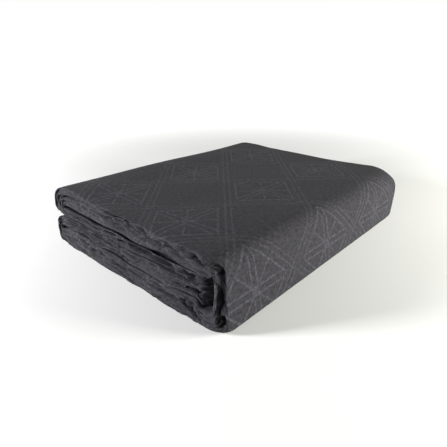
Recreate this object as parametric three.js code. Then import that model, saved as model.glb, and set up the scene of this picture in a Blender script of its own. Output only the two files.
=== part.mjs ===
// A light comforter folded for the shelf, in millimetres, +Z up.
// A padded strip has both ends turned in and is then closed like a book, so four layers lie
// between one broad spine fold at +X and two rounded lobes at -X. The layered end faces -Y.
import * as THREE from "three";

const { clamp, degToRad, lerp, smoothstep } = THREE.MathUtils;

// Driving sizes
const packLength = 450; // along the spine fold
const packHeight = 83; // of the pressed middle of the pack
const layerGap = 1.2; // air between two layers in the middle of the pack
const innerEndX = 157; // where the turned-in ends stop, short of the spine fold
const noseLength = 9; // rounding of those ends
const outerRound = 4.5; // rounding of a layer's end at its outer face

// Spine fold: its outer face turns down into a wall that leans out by some degrees and turns in at the
// floor, tighter at the near end than at the far one. Its inner face is a squared arch between the top
// and the bottom layer, which stands higher at its upper turn by the ear.
const spineStartX = 152; // where the top and the bottom layer pass into the fold
const spineTop = 82.5;
const spineEnds = {
  near: { topRadius: 24, lean: 12, bottomRadius: 8 },
  far: { topRadius: 32, lean: 4, bottomRadius: 8 },
};
const spineChange = { from: 120, to: 420 }; // along Y, where the one shape passes into the other
const arch = { reach: 21, squareness: 0.6, ear: 8, earShare: 0.24, earHalfWidth: 0.2 };

// Height of each gap and of the top, across the pack
const heightTable = [
  { x: -165, lowerGap: 26.5, middleGap: 41.5, upperGap: 60.5, top: 87.5 },
  { x: -140, lowerGap: 29.5, middleGap: 44.5, upperGap: 60.5, top: 87.0 },
  { x: -84, lowerGap: 30.7, middleGap: 44.0, upperGap: 60.0, top: 83.8 },
  { x: -58, lowerGap: 28.3, middleGap: 43.5, upperGap: 58.6, top: 83.0 },
  { x: -10, lowerGap: 29.3, middleGap: 43.5, upperGap: 61.8, top: 82.5 },
  { x: 28, lowerGap: 26.8, middleGap: 44.2, upperGap: 58.8, top: 82.0 },
  { x: 60, lowerGap: 26.8, middleGap: 45.8, upperGap: 61.0, top: 82.0 },
  { x: 95, lowerGap: 28.7, middleGap: 46.6, upperGap: 61.2, top: 82.2 },
  { x: 118, lowerGap: 30.5, middleGap: 47.5, upperGap: 60.5, top: 82.1 },
  { x: 142, lowerGap: 30.0, middleGap: 47.5, upperGap: 61.0, top: 82.5 },
  { x: 154, lowerGap: 22.0, middleGap: 47.5, upperGap: 61.0, top: 82.5 },
  { x: 164, lowerGap: 21.5, middleGap: 47.5, upperGap: 61.0, top: 82.5 },
];

// How far each layer's near end stands back from the nominal end of the pack
const nearTable = [
  { x: -185, topInner: -1, top: 0, bottom: -7, lowInner: -5 },
  { x: -150, topInner: -1, top: 1, bottom: -9, lowInner: -4.5 },
  { x: -60, topInner: -1.5, top: 2, bottom: -9, lowInner: -3.5 },
  { x: 20, topInner: -0.5, top: 2.5, bottom: -7, lowInner: -2 },
  { x: 84, topInner: 0, top: 2.5, bottom: -6.5, lowInner: -3.2 },
  { x: 136, topInner: 1.5, top: 2.5, bottom: -4.5, lowInner: -1 },
  { x: 150, topInner: 4, top: 2, bottom: -4.5, lowInner: 1 },
  { x: 154, topInner: 9, top: 2, bottom: -4.5, lowInner: 6 },
  { x: 158, topInner: 24, top: 2, bottom: -5, lowInner: 21 },
];

// The same at the far end, which is plainer
const farTable = [
  { x: -185, topInner: 5, top: -2, bottom: 1, lowInner: 5 },
  { x: 40, topInner: 3, top: -4, bottom: -1, lowInner: 3 },
  { x: 150, topInner: 4, top: -4, bottom: -1, lowInner: 4 },
];

// Short waves in how far a layer's near end stands back, how far its outer ply leans back, and the
// rounding of that end at its inner face, where two layers press together
const nearWaves = {
  top: { wave: 74, phase: 0.4, depth: 0.8, lean: 4.5, innerRound: 0.9 },
  topInner: { wave: 96, phase: 1.9, depth: 1.0, lean: 0.5, innerRound: 0.9 },
  lowInner: { wave: 83, phase: 3.1, depth: 1.0, lean: 0, innerRound: 0.9 },
  bottom: { wave: 108, phase: 5.0, depth: 0.4, lean: 0, innerRound: 6.5 },
};

// Rounding in plan of the spine fold's two corners, by height
const nearCorner = [
  { z: 0, across: 22, along: 22 },
  { z: 8, across: 18, along: 17 },
  { z: 22, across: 11, along: 9 },
  { z: 45, across: 10, along: 10 },
  { z: 60, across: 10, along: 12 },
  { z: 76, across: 12, along: 11 },
  { z: 82, across: 14, along: 9 },
];
const farCorner = [
  { z: 0, across: 24, along: 26 },
  { z: 12, across: 18, along: 20 },
  { z: 45, across: 14, along: 14 },
  { z: 80, across: 28, along: 28 },
];

// Lobes: each turns about the end of its gap, reaching out by its own amount
const upperLobe = { gapEndX: -153, reach: 42, gap: "upperGap" };
const lowerLobe = { gapEndX: -160, reach: 21, gap: "lowerGap" };
const lobeSquareness = 0.75; // 1 is an oval, less is squarer

// Places where a gap gapes open at the near end
const gapes = [
  { gap: "upperGap", x: -120, halfWidth: 80, height: 2.8, depth: 26 },
  { gap: "upperGap", x: -20, halfWidth: 36, height: 1.2, depth: 26 },
  { gap: "upperGap", x: 90, halfWidth: 30, height: 4, depth: 34 },
  { gap: "lowerGap", x: -160, halfWidth: 26, height: 6, depth: 24 },
  { gap: "lowerGap", x: -88, halfWidth: 26, height: 1.4, depth: 24 },
  { gap: "lowerGap", x: -20, halfWidth: 70, height: 0.8, depth: 24 },
];

// Hollows behind the rolled edges of two layers, along the whole near end as far as the spine fold
const hollows = {
  upperGap: { from: 11, height: 6 },
  middleGap: { from: 9, height: 1 },
  lowerGap: { from: 5, height: 3 },
};
const hollowReach = 9; // half its length along Y
const hollowEnds = { from: 130, to: 150 }; // where it closes towards the spine fold

// The near rim of the top hangs a little, less at both corners
const droop = { drop: 1.8, from: 7, length: 15, startX: -175, fullX: -115, fadeX: 120, endX: 152 };

// Main creases of the near end, as troughs along a line
const creases = [
  { from: [-58, 79], to: [16, 78.7], width: 4, depth: 8 },
  { from: [-58, 72.5], to: [2, 72.5], width: 5, depth: 5 },
  { from: [-174, 55], to: [-164, 81], width: 6, depth: 8 },
  { from: [-161, 71], to: [-132, 77.5], width: 5, depth: 6 },
  { from: [30, 80], to: [51, 77.5], width: 6, depth: 7 },
  { from: [52, 71], to: [86, 70], width: 5.5, depth: 6 },
  { from: [94, 74.5], to: [112, 75], width: 5, depth: 5 },
  { from: [120, 81], to: [137, 77], width: 6, depth: 7 },
  { from: [134, 75], to: [160, 72], width: 5, depth: 7 },
  { from: [-114, 56], to: [-40, 55], width: 5, depth: 5 },
  { from: [-33, 56], to: [-13, 57], width: 5, depth: 5 },
  { from: [17, 54], to: [82, 54], width: 5, depth: 5 },
  { from: [80, 58], to: [104, 53], width: 8, depth: 10 },
  { from: [122, 58], to: [139, 51], width: 6.5, depth: 9 },
  { from: [-140, 42], to: [-85, 41], width: 7, depth: 6 },
  { from: [-62, 40], to: [-13, 41.5], width: 7, depth: 7 },
  { from: [48, 43.5], to: [76, 43.5], width: 5, depth: 4 },
  { from: [-112, 33], to: [-84, 35], width: 5, depth: 6 },
  { from: [103, 36.5], to: [144, 39], width: 5.5, depth: 10 },
  { from: [-82, 20], to: [-68, 27], width: 6, depth: 4 },
  { from: [-67, 19], to: [-30, 22.5], width: 5.5, depth: 7 },
  { from: [-12, 15], to: [17, 18], width: 6, depth: 6 },
  { from: [84, 19.5], to: [106, 20], width: 8, depth: 4 },
  { from: [121, 25], to: [134, 11.8], width: 6, depth: 8 },
  { from: [134, 11.8], to: [151, 5.5], width: 6, depth: 8 },
];

// The slit between the plies of the spine fold at the near end, by the share of the way down:
// its middle and half width run from -1 at the inner face to 1 at the outer one
const slitDepth = 26;
const slitWall = 0.5; // share of the half width that its walls take
const slitEnds = { top: 0.07, topFull: 0.13, footFull: 0.62, foot: 0.76 };
const slitTable = [
  { share: 0.08, middle: 0.65, half: 0.1 },
  { share: 0.15, middle: 0.6, half: 0.3 },
  { share: 0.24, middle: 0.55, half: 0.3 },
  { share: 0.33, middle: 0.2, half: 0.42 },
  { share: 0.4, middle: 0.1, half: 0.6 },
  { share: 0.54, middle: 0.15, half: 0.52 },
  { share: 0.64, middle: 0.2, half: 0.4 },
  { share: 0.74, middle: 0.2, half: 0.25 },
];

// Long soft swells of the pack's faces
const swells = [
  { alongX: 260, alongY: 410, phase: 0.7, height: 0.8 },
  { alongX: -190, alongY: 270, phase: 2.1, height: 0.5 },
];

// Mesh steps
const runSteps = 32;
const lobeSteps = 9;
const spineSteps = { arc: 7, drop: 8, foot: 4, floor: 3 };
const faceShares = [0, 0.012, 0.028, 0.06, 0.15, 0.4, 0.7, 0.96, 1]; // along a face, near end first
const nearAcross = [-0.95, -0.8, -0.6, -0.4, -0.2, 0, 0.2, 0.4, 0.6, 0.8, 0.95]; // across a layer's end
const farAcross = [-0.9, -0.5, 0, 0.5, 0.9];
const noseShares = [0.5, 0.85]; // of noseLength, where its rings stand

const clothColour = 0x46464a;

// Smooth reading of one column of a table, whose rows are in order of their key
function column(table, name, at, key = "x") {
  const last = table.length - 1;
  const place = clamp(at, table[0][key], table[last][key]);
  const i = Math.min(table.findLastIndex((row) => row[key] <= place), last - 1);
  const t = smoothstep(place, table[i][key], table[i + 1][key]);
  return lerp(table[i][name], table[i + 1][name], t);
}

// 1 in the middle of a hump, falling to 0 at its half width
function hump(distance, halfWidth) {
  const t = Math.min(Math.abs(distance) / halfWidth, 1);
  return (1 - t * t) ** 2;
}

// A power that keeps the sign, to square up an oval
function signedPower(value, power) {
  return Math.sign(value) * Math.abs(value) ** power;
}

// One end's spine shape with the lengths of its parts on the way down: the turn, the leaning drop,
// the foot and the floor back to where the bottom layer begins
function spineShape({ topRadius, lean, bottomRadius }) {
  const angle = degToRad(lean);
  const sin = Math.sin(angle);
  const cos = Math.cos(angle);
  const drop = (spineTop - topRadius * (1 - sin) - bottomRadius * (1 + sin)) / cos;
  const outX = spineStartX + topRadius * cos + drop * sin + bottomRadius * (1 - cos);
  const lengths = {
    arc: topRadius * (Math.PI / 2 - angle),
    drop,
    foot: bottomRadius * (Math.PI / 2 + angle),
    floor: outX - bottomRadius - spineStartX,
  };
  const whole = lengths.arc + lengths.drop + lengths.foot + lengths.floor;
  return { topRadius, bottomRadius, angle, outX, lengths, whole };
}

const nearShape = spineShape(spineEnds.near);
const farShape = spineShape(spineEnds.far);

// How far out a spine shape reaches at height z
function edgeAt({ topRadius, bottomRadius, angle, outX }, z) {
  const fall = Math.max(spineTop - z, 0);
  const turned = topRadius * (1 - Math.sin(angle));
  if (fall < turned) return spineStartX + Math.sqrt(topRadius ** 2 - (topRadius - fall) ** 2);
  if (z < bottomRadius * (1 + Math.sin(angle))) {
    return outX - bottomRadius + Math.sqrt(bottomRadius ** 2 - (bottomRadius - z) ** 2);
  }
  return spineStartX + topRadius * Math.cos(angle) + (fall - turned) * Math.tan(angle);
}

// How far a rounded corner of the spine fold stands back at x and height z: a quarter oval in plan
function cornerBack(table, shape, x, z) {
  const across = column(table, "across", z, "z");
  const past = clamp((x - edgeAt(shape, z) + across) / across, 0, 1);
  return column(table, "along", z, "z") * (1 - Math.sqrt(1 - past * past));
}

// Half the width of a gap at x, where y is counted from the near end of the pack
function halfGap(gap, x, fromNear) {
  const open = gapes
    .filter((row) => row.gap === gap)
    .reduce((sum, row) => sum + row.height * hump(x - row.x, row.halfWidth) * hump(fromNear, row.depth), 0);
  const { from, height } = hollows[gap];
  const closing = 1 - smoothstep(x, hollowEnds.from, hollowEnds.to);
  return (layerGap + open + height * hump(fromNear - from, hollowReach) * closing) / 2;
}

// Low and high face of each layer, named by the gap below and above it
const layerFaces = {
  topInner: { below: "middleGap", above: "upperGap", outerIsHigh: false },
  top: { below: "upperGap", above: "top", outerIsHigh: true },
  bottom: { below: "floor", above: "lowerGap", outerIsHigh: false },
  lowInner: { below: "lowerGap", above: "middleGap", outerIsHigh: true },
};

// How far the top's near rim hangs down
function hang(x, fromNear) {
  const share = 1 - clamp((fromNear - droop.from) / droop.length, 0, 1);
  const along = smoothstep(x, droop.startX, droop.fullX) * (1 - smoothstep(x, droop.fadeX, droop.endX));
  return droop.drop * share * share * along;
}

function faceHeight(edge, side, x, fromNear) {
  if (edge === "floor") return 0;
  const height = column(heightTable, edge, x);
  if (edge === "top") return height - hang(x, fromNear);
  return height + side * halfGap(edge, x, fromNear);
}

// Inner and outer point of a flat layer at x
function layerSection(layer, x, fromNear) {
  const { below, above, outerIsHigh } = layerFaces[layer];
  const low = new THREE.Vector2(x, faceHeight(below, 1, x, fromNear));
  const high = new THREE.Vector2(x, faceHeight(above, -1, x, fromNear));
  return outerIsHigh ? { inner: low, outer: high } : { inner: high, outer: low };
}

// Inner and outer point of a lobe, turn going from 0 at its lower layer to 1 at its upper one
function lobeSection(lobe, lowerLayer, upperLayer, turn, fromNear) {
  const gapZ = column(heightTable, lobe.gap, lobe.gapEndX);
  const radius = halfGap(lobe.gap, lobe.gapEndX, fromNear);
  const lower = layerSection(lowerLayer, lobe.gapEndX, fromNear).outer.y;
  const upper = layerSection(upperLayer, lobe.gapEndX, fromNear).outer.y;
  const side = Math.sin(Math.PI * turn);
  const rise = -Math.cos(Math.PI * turn);
  const height = rise > 0 ? upper - gapZ : gapZ - lower;
  return {
    inner: new THREE.Vector2(lobe.gapEndX - radius * side, gapZ + radius * rise),
    outer: new THREE.Vector2(
      lobe.gapEndX - lobe.reach * side ** lobeSquareness,
      gapZ + height * signedPower(rise, lobeSquareness),
    ),
  };
}

// Outer point of one spine shape, by the share of the way down
function shapeOuter({ topRadius, bottomRadius, angle, lengths, whole }, share) {
  const { arc, drop, foot } = lengths;
  const along = share * whole;
  const down = Math.min(along, arc) / topRadius;
  const wall = clamp(along - arc, 0, drop);
  const under = clamp(along - arc - drop, 0, foot) / bottomRadius - angle;
  const back = Math.max(along - arc - drop - foot, 0);
  return new THREE.Vector2(
    spineStartX + topRadius * Math.sin(down) + wall * Math.sin(angle)
      + bottomRadius * (Math.cos(under) - Math.cos(angle)) - back,
    spineTop - topRadius * (1 - Math.cos(down)) - wall * Math.cos(angle)
      - bottomRadius * (Math.sin(under) + Math.sin(angle)),
  );
}

// Outer point of the spine fold, from the near shape to the far one
function spineOuter(share, fromNear) {
  const t = smoothstep(fromNear, spineChange.from, spineChange.to);
  return shapeOuter(nearShape, share).lerp(shapeOuter(farShape, share), t);
}

// Inner point of the spine fold: half a squared oval between the inner faces of the top and bottom layers
function spineInner(share, fromNear) {
  const high = layerSection("top", spineStartX, fromNear).inner.y;
  const low = layerSection("bottom", spineStartX, fromNear).inner.y;
  const side = Math.sin(Math.PI * share);
  const rise = Math.cos(Math.PI * share);
  return new THREE.Vector2(
    spineStartX + arch.reach * side ** arch.squareness,
    (high + low) / 2 + ((high - low) / 2) * signedPower(rise, arch.squareness)
      + arch.ear * hump(share - arch.earShare, arch.earHalfWidth),
  );
}

// Shares of the way down the spine fold where its stations stand, without its two ends
function spineShares() {
  const { lengths, whole } = nearShape;
  const shares = [];
  let start = 0;
  for (const [part, steps] of Object.entries(spineSteps)) {
    for (let i = 1; i <= steps; i += 1) {
      shares.push((start + (lengths[part] * i) / steps) / whole);
    }
    start += lengths[part];
  }
  return shares.slice(0, -1);
}

// The folded strip as a list of stations, from one turned-in end to the other.
// Each gives its section, the two layers it lies between and its share of the way to the second.
function makeStations() {
  const stations = [];
  const addRun = (layer, fromX, toX) => {
    for (let i = 0; i <= runSteps; i += 1) {
      const x = lerp(fromX, toX, i / runSteps);
      const section = (fromNear) => layerSection(layer, x, fromNear);
      stations.push({ layers: [layer, layer], turn: 0, section });
    }
  };
  const addLobe = (lobe, lowerLayer, upperLayer) => {
    for (let i = 1; i < lobeSteps; i += 1) {
      const turn = i / lobeSteps;
      const section = (fromNear) => lobeSection(lobe, lowerLayer, upperLayer, turn, fromNear);
      stations.push({ layers: [lowerLayer, upperLayer], turn, section });
    }
  };
  const addSpine = (upperLayer, lowerLayer) => {
    for (const share of spineShares()) {
      const section = (fromNear) => ({
        inner: spineInner(share, fromNear),
        outer: spineOuter(share, fromNear),
      });
      stations.push({ layers: [upperLayer, lowerLayer], turn: share, section, onSpine: true });
    }
  };

  addRun("topInner", innerEndX, upperLobe.gapEndX);
  addLobe(upperLobe, "topInner", "top");
  addRun("top", upperLobe.gapEndX, spineStartX);
  addSpine("top", "bottom");
  addRun("bottom", spineStartX, lowerLobe.gapEndX);
  addLobe(lowerLobe, "bottom", "lowInner");
  addRun("lowInner", lowerLobe.gapEndX, innerEndX);
  return stations;
}

// How far the creases draw a point of the near end in
function creaseBack(x, z) {
  const place = new THREE.Vector3(x, 0, z);
  return creases.reduce((sum, { from, to, width, depth }) => {
    const line = new THREE.Line3(new THREE.Vector3(from[0], 0, from[1]), new THREE.Vector3(to[0], 0, to[1]));
    const nearest = line.closestPointToPoint(place, true, new THREE.Vector3());
    return sum + depth * hump(nearest.distanceTo(place), width);
  }, 0);
}

// How far the slit draws the spine fold's near end in
function slitBack(share, across) {
  const half = column(slitTable, "half", share, "share");
  const off = Math.abs(across - column(slitTable, "middle", share, "share"));
  const inside = smoothstep(1 - off / half, 0, slitWall);
  const { top, topFull, footFull, foot } = slitEnds;
  const ends = smoothstep(share, top, topFull) * (1 - smoothstep(share, footFull, foot));
  return slitDepth * inside * ends;
}

// Where a layer's near end lies at x, before its rounding
function nearEnd(layer, x) {
  const { wave, phase, depth } = nearWaves[layer];
  return -packLength / 2 + column(nearTable, layer, x) + depth * Math.sin((2 * Math.PI * x) / wave + phase);
}

function farEnd(layer, x) {
  return packLength / 2 - column(farTable, layer, x);
}

// Height of the swells, none on the floor and all of it at the top
function swell(x, y, z) {
  return swells.reduce((sum, row) => {
    const wave = Math.sin(2 * Math.PI * (x / row.alongX + y / row.alongY) + row.phase);
    return sum + row.height * wave * (z / packHeight);
  }, 0);
}

// A point of the strip: across is -1 on the inner face and 1 on the outer one
function stripPoint(station, across, y) {
  const { inner, outer } = station.section(y + packLength / 2);
  const x = lerp(inner.x, outer.x, (across + 1) / 2);
  const z = lerp(inner.y, outer.y, (across + 1) / 2);
  return new THREE.Vector3(x, y, z + swell(x, y, z));
}

// Closed ring of points round a station: near end, outer face, far end, inner face
const spineEdge = { from: 0.05, full: 0.35, fade: 0.72, end: 0.92, rimShare: 0.3 }; // its crisp near edge

function stationRing(station) {
  const { inner, outer } = station.section(packLength / 2);
  const [first, second] = station.layers;
  const mixed = (read) => lerp(read(first), read(second), smoothstep(station.turn, 0, 1));
  const round = Math.min(inner.distanceTo(outer) / 2, outerRound);
  const at = (across) => new THREE.Vector2().lerpVectors(inner, outer, (across + 1) / 2);
  const near = mixed((layer) => nearEnd(layer, outer.x));
  const far = mixed((layer) => farEnd(layer, outer.x));
  const edged = (turn) => smoothstep(turn, spineEdge.from, spineEdge.full)
    * (1 - smoothstep(turn, spineEdge.fade, spineEdge.end));
  const crisp = station.onSpine ? edged(station.turn) : 0;
  const lean = (1 - crisp) * mixed((layer) => nearWaves[layer].lean);
  const innerRound = mixed((layer) => nearWaves[layer].innerRound);

  const nearY = (across) => {
    const { x, y: z } = at(across);
    const edge = (across > 0 ? round : innerRound) * (1 - Math.sqrt(1 - across ** 4));
    const rim = edge * lerp(1, spineEdge.rimShare, crisp);
    const crease = creaseBack(x, z) * (1 - across ** 6) * (1 - crisp);
    const slit = station.onSpine ? slitBack(station.turn, across) : 0;
    const corner = cornerBack(nearCorner, nearShape, x, z);
    return near + rim + crease + slit + corner + lean * ((across + 1) / 2) ** 1.5;
  };
  const farY = (across) => {
    const { x, y: z } = at(across);
    return far - round * (1 - Math.sqrt(1 - across * across)) - cornerBack(farCorner, farShape, x, z);
  };
  const face = (across) => faceShares.map((share) => lerp(nearY(across), farY(across), share));
  const middle = (nearAcross.length - 1) / 2;
  return [
    ...nearAcross.slice(middle).map((across) => stripPoint(station, across, nearY(across))),
    ...face(1).map((y) => stripPoint(station, 1, y)),
    ...farAcross.toReversed().map((across) => stripPoint(station, across, farY(across))),
    ...face(-1).toReversed().map((y) => stripPoint(station, -1, y)),
    ...nearAcross.slice(0, middle).map((across) => stripPoint(station, across, nearY(across))),
  ];
}

// Rings drawn in to a rounded nose beyond a turned-in end
function noseRings(ring) {
  const centre = ring.reduce((sum, point) => sum.add(point), new THREE.Vector3()).divideScalar(ring.length);
  return noseShares.map((share) => {
    const keep = Math.sqrt(1 - share * share);
    return ring.map((point) => new THREE.Vector3(
      point.x + noseLength * share,
      point.y,
      lerp(centre.z, point.z, keep),
    ));
  });
}

// One closed mesh through all the rings, its two ends closed across the ring
function makeStrip() {
  const rings = makeStations().map(stationRing);
  const all = [
    ...noseRings(rings[0]).toReversed(),
    ...rings,
    ...noseRings(rings[rings.length - 1]),
  ];
  const count = all[0].length;
  const index = [];
  for (let k = 0; k < all.length - 1; k += 1) {
    for (let i = 0; i < count; i += 1) {
      const a = k * count + i;
      const b = k * count + ((i + 1) % count);
      index.push(a, b + count, b, a, a + count, b + count);
    }
  }
  const closeEnd = (start, flip) => {
    const face = (a, b, c) => (flip ? index.push(a, c, b) : index.push(a, b, c));
    const half = count / 2;
    for (let i = 0; i < half; i += 1) {
      const a = start + i;
      const b = start + i + 1;
      const c = start + ((count - i) % count);
      const d = start + count - i - 1;
      if (i > 0) face(a, c, b);
      if (i < half - 1) face(b, c, d);
    }
  };
  closeEnd(0, true);
  closeEnd((all.length - 1) * count, false);

  const geometry = new THREE.BufferGeometry();
  geometry.setFromPoints(all.flat());
  geometry.setIndex(index);
  geometry.computeBoundingBox();
  const centre = geometry.boundingBox.getCenter(new THREE.Vector3());
  geometry.translate(-centre.x, -centre.y, -geometry.boundingBox.min.z);
  geometry.computeVertexNormals();
  return geometry;
}

const cloth = new THREE.MeshStandardMaterial({ color: clothColour, roughness: 0.9, metalness: 0 });
const comforter = new THREE.Mesh(makeStrip(), cloth);
comforter.name = "comforter";

const group = new THREE.Group();
group.add(comforter);

export default group;
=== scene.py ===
import math
import bpy
import numpy as np
from mathutils import Matrix, Vector


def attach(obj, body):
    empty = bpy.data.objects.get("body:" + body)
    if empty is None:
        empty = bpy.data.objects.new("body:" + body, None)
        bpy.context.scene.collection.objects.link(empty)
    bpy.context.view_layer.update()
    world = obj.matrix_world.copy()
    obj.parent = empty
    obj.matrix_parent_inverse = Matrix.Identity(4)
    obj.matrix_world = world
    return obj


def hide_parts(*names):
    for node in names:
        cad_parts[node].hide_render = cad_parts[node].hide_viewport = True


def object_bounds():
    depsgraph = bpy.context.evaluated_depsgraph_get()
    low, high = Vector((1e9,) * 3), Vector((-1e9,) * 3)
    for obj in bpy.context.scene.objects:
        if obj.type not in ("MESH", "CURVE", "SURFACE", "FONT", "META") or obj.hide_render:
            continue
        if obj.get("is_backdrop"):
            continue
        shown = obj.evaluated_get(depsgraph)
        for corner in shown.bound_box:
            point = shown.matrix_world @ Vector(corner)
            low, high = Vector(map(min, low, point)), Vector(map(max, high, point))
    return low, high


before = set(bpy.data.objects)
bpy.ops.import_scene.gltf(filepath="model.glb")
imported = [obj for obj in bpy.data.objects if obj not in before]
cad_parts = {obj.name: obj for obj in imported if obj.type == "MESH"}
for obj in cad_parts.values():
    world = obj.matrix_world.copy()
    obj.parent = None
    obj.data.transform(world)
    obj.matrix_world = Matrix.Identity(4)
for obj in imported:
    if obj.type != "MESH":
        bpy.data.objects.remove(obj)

cadLow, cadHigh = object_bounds()
print("frame loaded, CAD box", [round(v, 4) for v in (*cadLow, *cadHigh)])

# Sizes of the folded pack in mm, as in the solid. X runs from the lobes to the spine fold,
# Y along the spine away from the layered near end, Z up.
pack = {
    "length": 450.0,
    "height": 83.0,
    "farReach": 229.0,          # where the far end of the top layer lies
    "layerGap": 1.2,
    "innerEndX": 157.0,
    "noseLength": 9.0,
    "endRound": 4.5,            # of the outer face, at both ends
    "lobeSquareness": 0.75,
}
spine = {
    "startX": 152.0, "top": 82.5,
    "archReach": 21.0, "archSquareness": 0.6,       # its inner face
    "ear": 8.0, "earShare": 0.24, "earHalfWidth": 0.2,
    "changeFrom": 120.0, "changeLength": 300.0,     # along y, from the near shape to the far one
    "wallShare": 0.79,          # how much of the outline lies above the floor
}


def spineShape(topRadius, lean, bottomRadius):
    # the top turns down into a wall that leans out by some degrees, and turns in at the floor
    lean = math.radians(lean)
    sin, cos = math.sin(lean), math.cos(lean)
    drop = (spine["top"] - topRadius * (1 - sin) - bottomRadius * (1 + sin)) / cos
    outX = spine["startX"] + topRadius * cos + drop * sin + bottomRadius * (1 - cos)
    return {
        "topRadius": topRadius, "bottomRadius": bottomRadius, "lean": lean, "outX": outX,
        "arc": topRadius * (math.pi / 2 - lean), "drop": drop, "foot": bottomRadius * (math.pi / 2 + lean),
        "floor": outX - bottomRadius - spine["startX"],
    }


spineNear, spineFar = spineShape(24, 12, 8), spineShape(32, 4, 8)      # tighter at the near end
upperLobe = {
    "gapEndX": -153.0, "reach": 42.0, "gap": "upperGap",
    "ply": 5.0, "fullPly": 8.0, "groove": 1.0,      # outermost ply at the ends and the middle of the turn
}
lowerLobe = {
    "gapEndX": -160.0, "reach": 21.0, "gap": "lowerGap",
    "ply": 5.0, "fullPly": 5.0, "groove": 5.0,
}

heightRows = [
    {"x": -165, "lowerGap": 26.5, "middleGap": 41.5, "upperGap": 60.5, "top": 87.5},
    {"x": -140, "lowerGap": 29.5, "middleGap": 44.5, "upperGap": 60.5, "top": 87.0},
    {"x": -84, "lowerGap": 30.7, "middleGap": 44.0, "upperGap": 60.0, "top": 83.8},
    {"x": -58, "lowerGap": 28.3, "middleGap": 43.5, "upperGap": 58.6, "top": 83.0},
    {"x": -10, "lowerGap": 29.3, "middleGap": 43.5, "upperGap": 61.8, "top": 82.5},
    {"x": 28, "lowerGap": 26.8, "middleGap": 44.2, "upperGap": 58.8, "top": 82.0},
    {"x": 60, "lowerGap": 26.8, "middleGap": 45.8, "upperGap": 61.0, "top": 82.0},
    {"x": 95, "lowerGap": 28.7, "middleGap": 46.6, "upperGap": 61.2, "top": 82.2},
    {"x": 118, "lowerGap": 30.5, "middleGap": 47.5, "upperGap": 60.5, "top": 82.1},
    {"x": 142, "lowerGap": 30.0, "middleGap": 47.5, "upperGap": 61.0, "top": 82.5},
    {"x": 154, "lowerGap": 22.0, "middleGap": 47.5, "upperGap": 61.0, "top": 82.5},
    {"x": 164, "lowerGap": 21.5, "middleGap": 47.5, "upperGap": 61.0, "top": 82.5},
]
nearRows = [                    # how far each layer's near end stands back from half the length
    {"x": -185, "topInner": -1, "top": 0, "bottom": -7, "lowInner": -5},
    {"x": -150, "topInner": -1, "top": 1, "bottom": -9, "lowInner": -4.5},
    {"x": -60, "topInner": -1.5, "top": 2, "bottom": -9, "lowInner": -3.5},
    {"x": 20, "topInner": -0.5, "top": 2.5, "bottom": -7, "lowInner": -2},
    {"x": 84, "topInner": 0, "top": 2.5, "bottom": -6.5, "lowInner": -3.2},
    {"x": 136, "topInner": 1.5, "top": 2.5, "bottom": -4.5, "lowInner": -1},
    {"x": 150, "topInner": 4, "top": 2, "bottom": -4.5, "lowInner": 1},
    {"x": 154, "topInner": 9, "top": 2, "bottom": -4.5, "lowInner": 6},
    {"x": 158, "topInner": 24, "top": 2, "bottom": -5, "lowInner": 21},
]
farRows = [
    {"x": -185, "topInner": 5, "top": -2, "bottom": 1, "lowInner": 5},
    {"x": 40, "topInner": 3, "top": -4, "bottom": -1, "lowInner": 3},
    {"x": 150, "topInner": 4, "top": -4, "bottom": -1, "lowInner": 4},
]
gapes = [                       # where a gap stands open at the near end, or is pressed shut
    {"gap": "upperGap", "x": -120, "halfWidth": 80, "height": 2.8, "depth": 26},
    {"gap": "upperGap", "x": -20, "halfWidth": 36, "height": 1.2, "depth": 26},
    {"gap": "upperGap", "x": 24, "halfWidth": 26, "height": -0.9, "depth": 26},
    {"gap": "upperGap", "x": 90, "halfWidth": 30, "height": 4.0, "depth": 34},
    {"gap": "upperGap", "x": 140, "halfWidth": 32, "height": -1.1, "depth": 34},
    {"gap": "lowerGap", "x": -160, "halfWidth": 26, "height": 6.0, "depth": 24},
    {"gap": "lowerGap", "x": -122, "halfWidth": 24, "height": -0.9, "depth": 24},
    {"gap": "lowerGap", "x": -88, "halfWidth": 26, "height": 1.4, "depth": 24},
    {"gap": "lowerGap", "x": -20, "halfWidth": 70, "height": 0.8, "depth": 24},
    {"gap": "lowerGap", "x": 68, "halfWidth": 34, "height": -0.9, "depth": 24},
    {"gap": "middleGap", "x": 20, "halfWidth": 150, "height": -0.7, "depth": 24},
]
hollows = {                     # behind the rolled edges of two layers the gap is wider
    "upperGap": {"from": 11.0, "halfLength": 9.0, "height": 6.0},
    "middleGap": {"from": 9.0, "halfLength": 9.0, "height": 1.0},
    "lowerGap": {"from": 5.0, "halfLength": 9.0, "height": 3.0},
}
hollowEnds = {"from": 130.0, "length": 20.0}        # where they close towards the spine fold
layerEnds = {                   # near end of each layer: a ripple, how far its plies open and stand out,
                                # rounding at the inner face, and how far its outermost ply stands back
    "top": {"wave": 74, "phase": 0.4, "depth": 0.8,
            "plyOpen": 0.8, "plyReach": 0.8, "innerRound": 0.9, "leanBack": 4.5},
    "topInner": {"wave": 96, "phase": 1.9, "depth": 1.0,
                 "plyOpen": 1.0, "plyReach": 1.0, "innerRound": 0.9, "leanBack": 0.5},
    "lowInner": {"wave": 83, "phase": 3.1, "depth": 1.0,
                 "plyOpen": 1.0, "plyReach": 1.0, "innerRound": 0.9, "leanBack": 0.0},
    "bottom": {"wave": 108, "phase": 5.0, "depth": 0.4,
               "plyOpen": 0.7, "plyReach": 0.5, "innerRound": 6.5, "leanBack": 0.0},
}
swells = [                      # long low waves of the whole pack
    {"alongX": 260, "alongY": 410, "phase": 0.7, "height": 0.8},
    {"alongX": -190, "alongY": 270, "phase": 2.1, "height": 0.5},
]
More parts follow.
